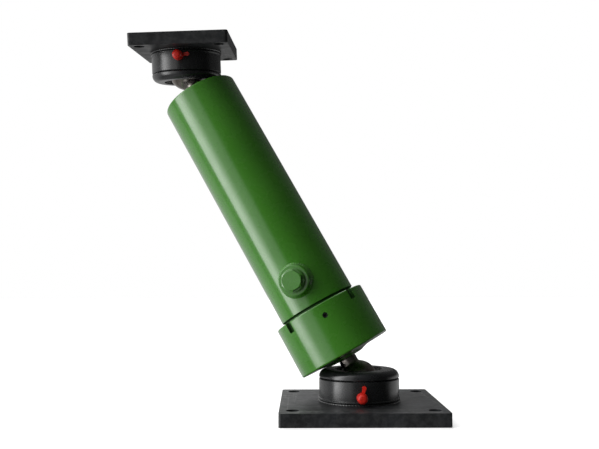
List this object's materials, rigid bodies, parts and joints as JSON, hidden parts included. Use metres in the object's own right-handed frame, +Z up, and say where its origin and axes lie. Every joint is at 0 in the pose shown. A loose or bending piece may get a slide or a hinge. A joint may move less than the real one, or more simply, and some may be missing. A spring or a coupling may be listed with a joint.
{
  "type": "telescopic hydraulic cylinder",
  "caption": "Telescopic hydraulic cylinder, retracted: green enamelled barrel with a slotted base cup and a side oil port, on ball joints with black bolt-down plates at its ends.",
  "frame": {"origin": "centre of the base plate's underside, which lies on the floor", "axes": "+Z up, square to the base plate; +Y to the back; +X to the right seen from the front, so the cylinder leans to -X"},
  "size_m": [0.3677, 0.2094, 0.4729],
  "materials": {
    "green_enamel": "gloss green enamel sprayed over steel",
    "black_paint": "satin black paint over steel",
    "bright_steel": "turned steel with a film of grease",
    "hard_chrome": "ground hard chrome",
    "spring_steel": "phosphated spring steel",
    "zinc_plate": "bright zinc plate",
    "bronze": "turned bearing bronze",
    "red_plastic": "moulded soft red plastic",
    "nylon": "machined dark nylon",
    "dark_rubber": "moulded nitrile rubber"
  },
  "bodies": {
    "base_mount": {"base_plate": "black_paint", "base_weld_bead": "black_paint", "base_socket": "black_paint", "base_retaining_ring": "black_paint", "base_dust_ring": "dark_rubber", "base_circlip": "spring_steel", "base_grease_nipple": "zinc_plate"},
    "base_cap": {"base_nipple_cap": "red_plastic"},
    "base_seat": {"base_seat": "bronze"},
    "base_stud": {"base_ball_stud": "bright_steel"},
    "barrel": {"base_cup": "green_enamel", "cup_o_ring": "dark_rubber", "cup_set_screw": "spring_steel", "barrel_tube": "green_enamel", "port_boss": "green_enamel", "port_washer": "green_enamel", "port_plug": "green_enamel", "barrel_guide_ring": "bronze", "barrel_lip_seal": "nylon", "barrel_wiper": "dark_rubber"},
    "stage_1": {"stage_1_tube": "hard_chrome", "stage_1_bearing_band": "bronze", "stage_1_stop_ring": "spring_steel", "stage_1_guide_ring": "bronze", "stage_1_lip_seal": "nylon", "stage_1_wiper": "dark_rubber"},
    "stage_2": {"stage_2_tube": "hard_chrome", "stage_2_bearing_band": "bronze", "stage_2_stop_ring": "spring_steel", "stage_2_guide_ring": "bronze", "stage_2_lip_seal": "nylon", "stage_2_wiper": "dark_rubber"},
    "plunger": {"plunger_tube": "hard_chrome", "plunger_end": "hard_chrome", "plunger_bearing_band": "bronze", "plunger_stop_ring": "spring_steel"},
    "rod_stud": {"rod_ball_stud": "bright_steel"},
    "top_seat": {"top_seat": "nylon"},
    "top_mount": {"top_plate": "black_paint", "top_weld_bead": "black_paint", "top_socket": "black_paint", "top_retaining_ring": "black_paint", "top_dust_ring": "dark_rubber", "top_circlip": "spring_steel", "top_grease_nipple": "zinc_plate"},
    "top_cap": {"top_nipple_cap": "red_plastic"}
  },
  "joints": [
    {"name": "base_swivel", "type": "hinge", "parent": "base_mount", "child": "base_seat", "pos_m": [0, 0, 0.0395], "axis": [0, 0, 1], "continuous": true},
    {"name": "base_tilt", "type": "hinge", "parent": "base_seat", "child": "base_stud", "pos_m": [0, 0, 0.0395], "axis": [-0.2296, -0.9733, 0], "range_deg": [-59, 0]},
    {"name": "barrel_spin", "type": "hinge", "parent": "base_stud", "child": "barrel", "pos_m": [0, 0, 0.0395], "axis": [-0.4842, 0.1142, 0.8675], "continuous": true},
    {"name": "stage_1_slide", "type": "slide", "parent": "barrel", "child": "stage_1", "axis": [-0.4842, 0.1142, 0.8675], "range_m": [0, 0.24]},
    {"name": "stage_2_slide", "type": "slide", "parent": "stage_1", "child": "stage_2", "axis": [-0.4842, 0.1142, 0.8675], "range_m": [0, 0.24]},
    {"name": "plunger_slide", "type": "slide", "parent": "stage_2", "child": "plunger", "axis": [-0.4842, 0.1142, 0.8675], "range_m": [0, 0.24]},
    {"name": "rod_spin", "type": "hinge", "parent": "plunger", "child": "rod_stud", "pos_m": [-0.21402, 0.0505, 0.42292], "axis": [-0.4842, 0.1142, 0.8675], "continuous": true},
    {"name": "top_tilt", "type": "hinge", "parent": "rod_stud", "child": "top_seat", "pos_m": [-0.21402, 0.0505, 0.42292], "axis": [0.4428, 0.8871, 0.1304], "range_deg": [-61, 0]},
    {"name": "top_swivel", "type": "hinge", "parent": "top_seat", "child": "top_mount", "pos_m": [-0.21402, 0.0505, 0.42292], "axis": [-0.0304, -0.1305, 0.991], "continuous": true},
    {"name": "base_cap_pull", "type": "slide", "parent": "base_mount", "child": "base_cap", "axis": [0, -1, 0], "range_m": [0, 0.014]},
    {"name": "top_cap_pull", "type": "slide", "parent": "top_mount", "child": "top_cap", "axis": [-0.0697, -0.9888, -0.1323], "range_m": [0, 0.014]}
  ]
}
